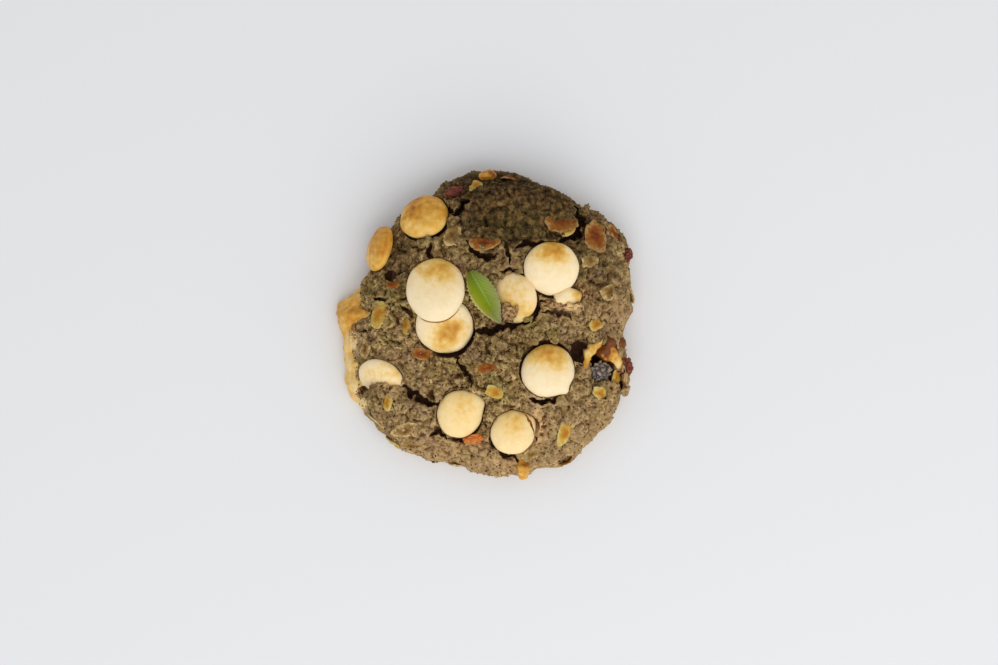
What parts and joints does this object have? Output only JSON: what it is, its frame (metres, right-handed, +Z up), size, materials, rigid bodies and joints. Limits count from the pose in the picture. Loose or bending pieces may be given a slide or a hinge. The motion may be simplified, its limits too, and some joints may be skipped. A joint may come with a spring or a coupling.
{
  "type": "matcha cookie",
  "caption": "Thick round matcha oat cookie with white chocolate drops, oat flakes and dried berries baked into a cracked crust, and a small green leaf on top.",
  "frame": {"origin": "middle of the footprint, on the flat base", "axes": "+Z up out of the crust, +X to the cookie's right and +Y to its back as the picture shows it from above"},
  "size_m": [0.08, 0.0824, 0.0214],
  "materials": {
    "dough": "matt olive-brown baked oat dough, grainy and cracked, browner on the side and base",
    "white_chocolate": "cream white chocolate with a soft sheen, toasted golden in patches",
    "toasted_chocolate": "melted white chocolate, toasted golden orange",
    "leaf": "fresh green leaf with paler veins",
    "dark_berry": "wrinkled dark dried berry",
    "red_berry": "dark red dried berry, slightly sticky"
  },
  "bodies": {
    "root": {"dough": "dough", "drop_pair_upper": "white_chocolate", "drop_pair_lower": "white_chocolate", "drop_right_upper": "white_chocolate", "drop_right_lower": "white_chocolate", "drop_back_left": "white_chocolate", "drop_front_left": "white_chocolate", "drop_front_middle": "white_chocolate", "drop_middle_sunk": "white_chocolate", "drop_left_sunk": "white_chocolate", "drop_left_wall": "white_chocolate", "chip_right_sunk": "white_chocolate", "chip_pocket": "toasted_chocolate", "melted_edge": "toasted_chocolate", "drip_front": "toasted_chocolate", "drip_back": "toasted_chocolate", "leaf": "leaf", "dark_berry": "dark_berry", "red_berry_right": "red_berry", "red_berry_back_right": "red_berry", "red_berry_back": "red_berry", "red_berry_front": "red_berry"}
  },
  "joints": []
}
